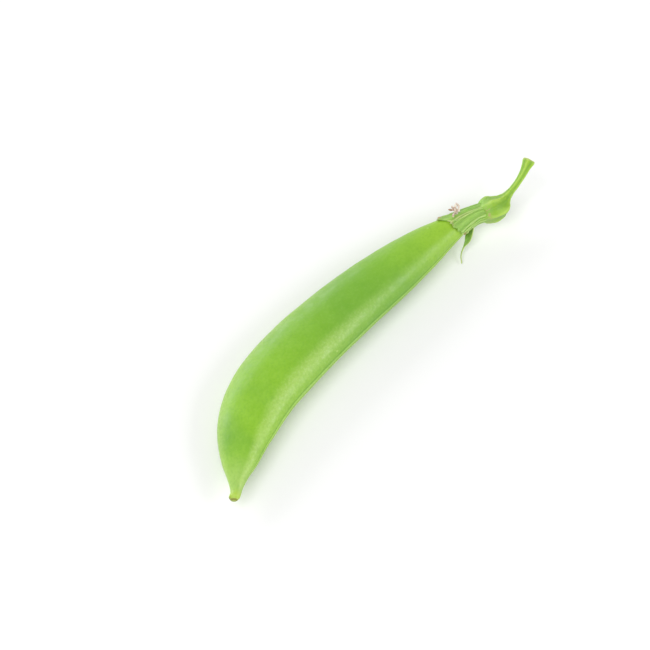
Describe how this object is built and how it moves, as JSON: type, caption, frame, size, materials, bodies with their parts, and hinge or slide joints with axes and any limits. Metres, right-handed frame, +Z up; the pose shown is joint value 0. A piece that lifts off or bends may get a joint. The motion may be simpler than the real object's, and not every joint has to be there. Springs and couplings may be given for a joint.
{
  "type": "snow pea pod",
  "caption": "Plump curved edible pea pod as picked, with beak, ventral seam, calyx and short stalk, lying on its broad side.",
  "frame": {"origin": "middle of the underside of the box round the whole pod, on the surface it lies on", "axes": "+X from the beak to the stalk along the pod, +Y towards the bowed back of the pod, -Y towards the seam, +Z up out of the surface"},
  "size_m": [0.0974, 0.021, 0.0102],
  "materials": {
    "pod_skin": "satin",
    "calyx_green": "matte",
    "stalk_green": "satin",
    "dried_stamen": "matte"
  },
  "bodies": {
    "root": {"pod": "pod_skin", "calyx_base": "calyx_green", "sepal_back": "calyx_green", "sepal_top": "calyx_green", "sepal_front": "calyx_green", "sepal_under": "calyx_green", "sepal_hanging": "calyx_green", "stalk": "stalk_green", "stamen_wisp": "dried_stamen"}
  },
  "joints": []
}
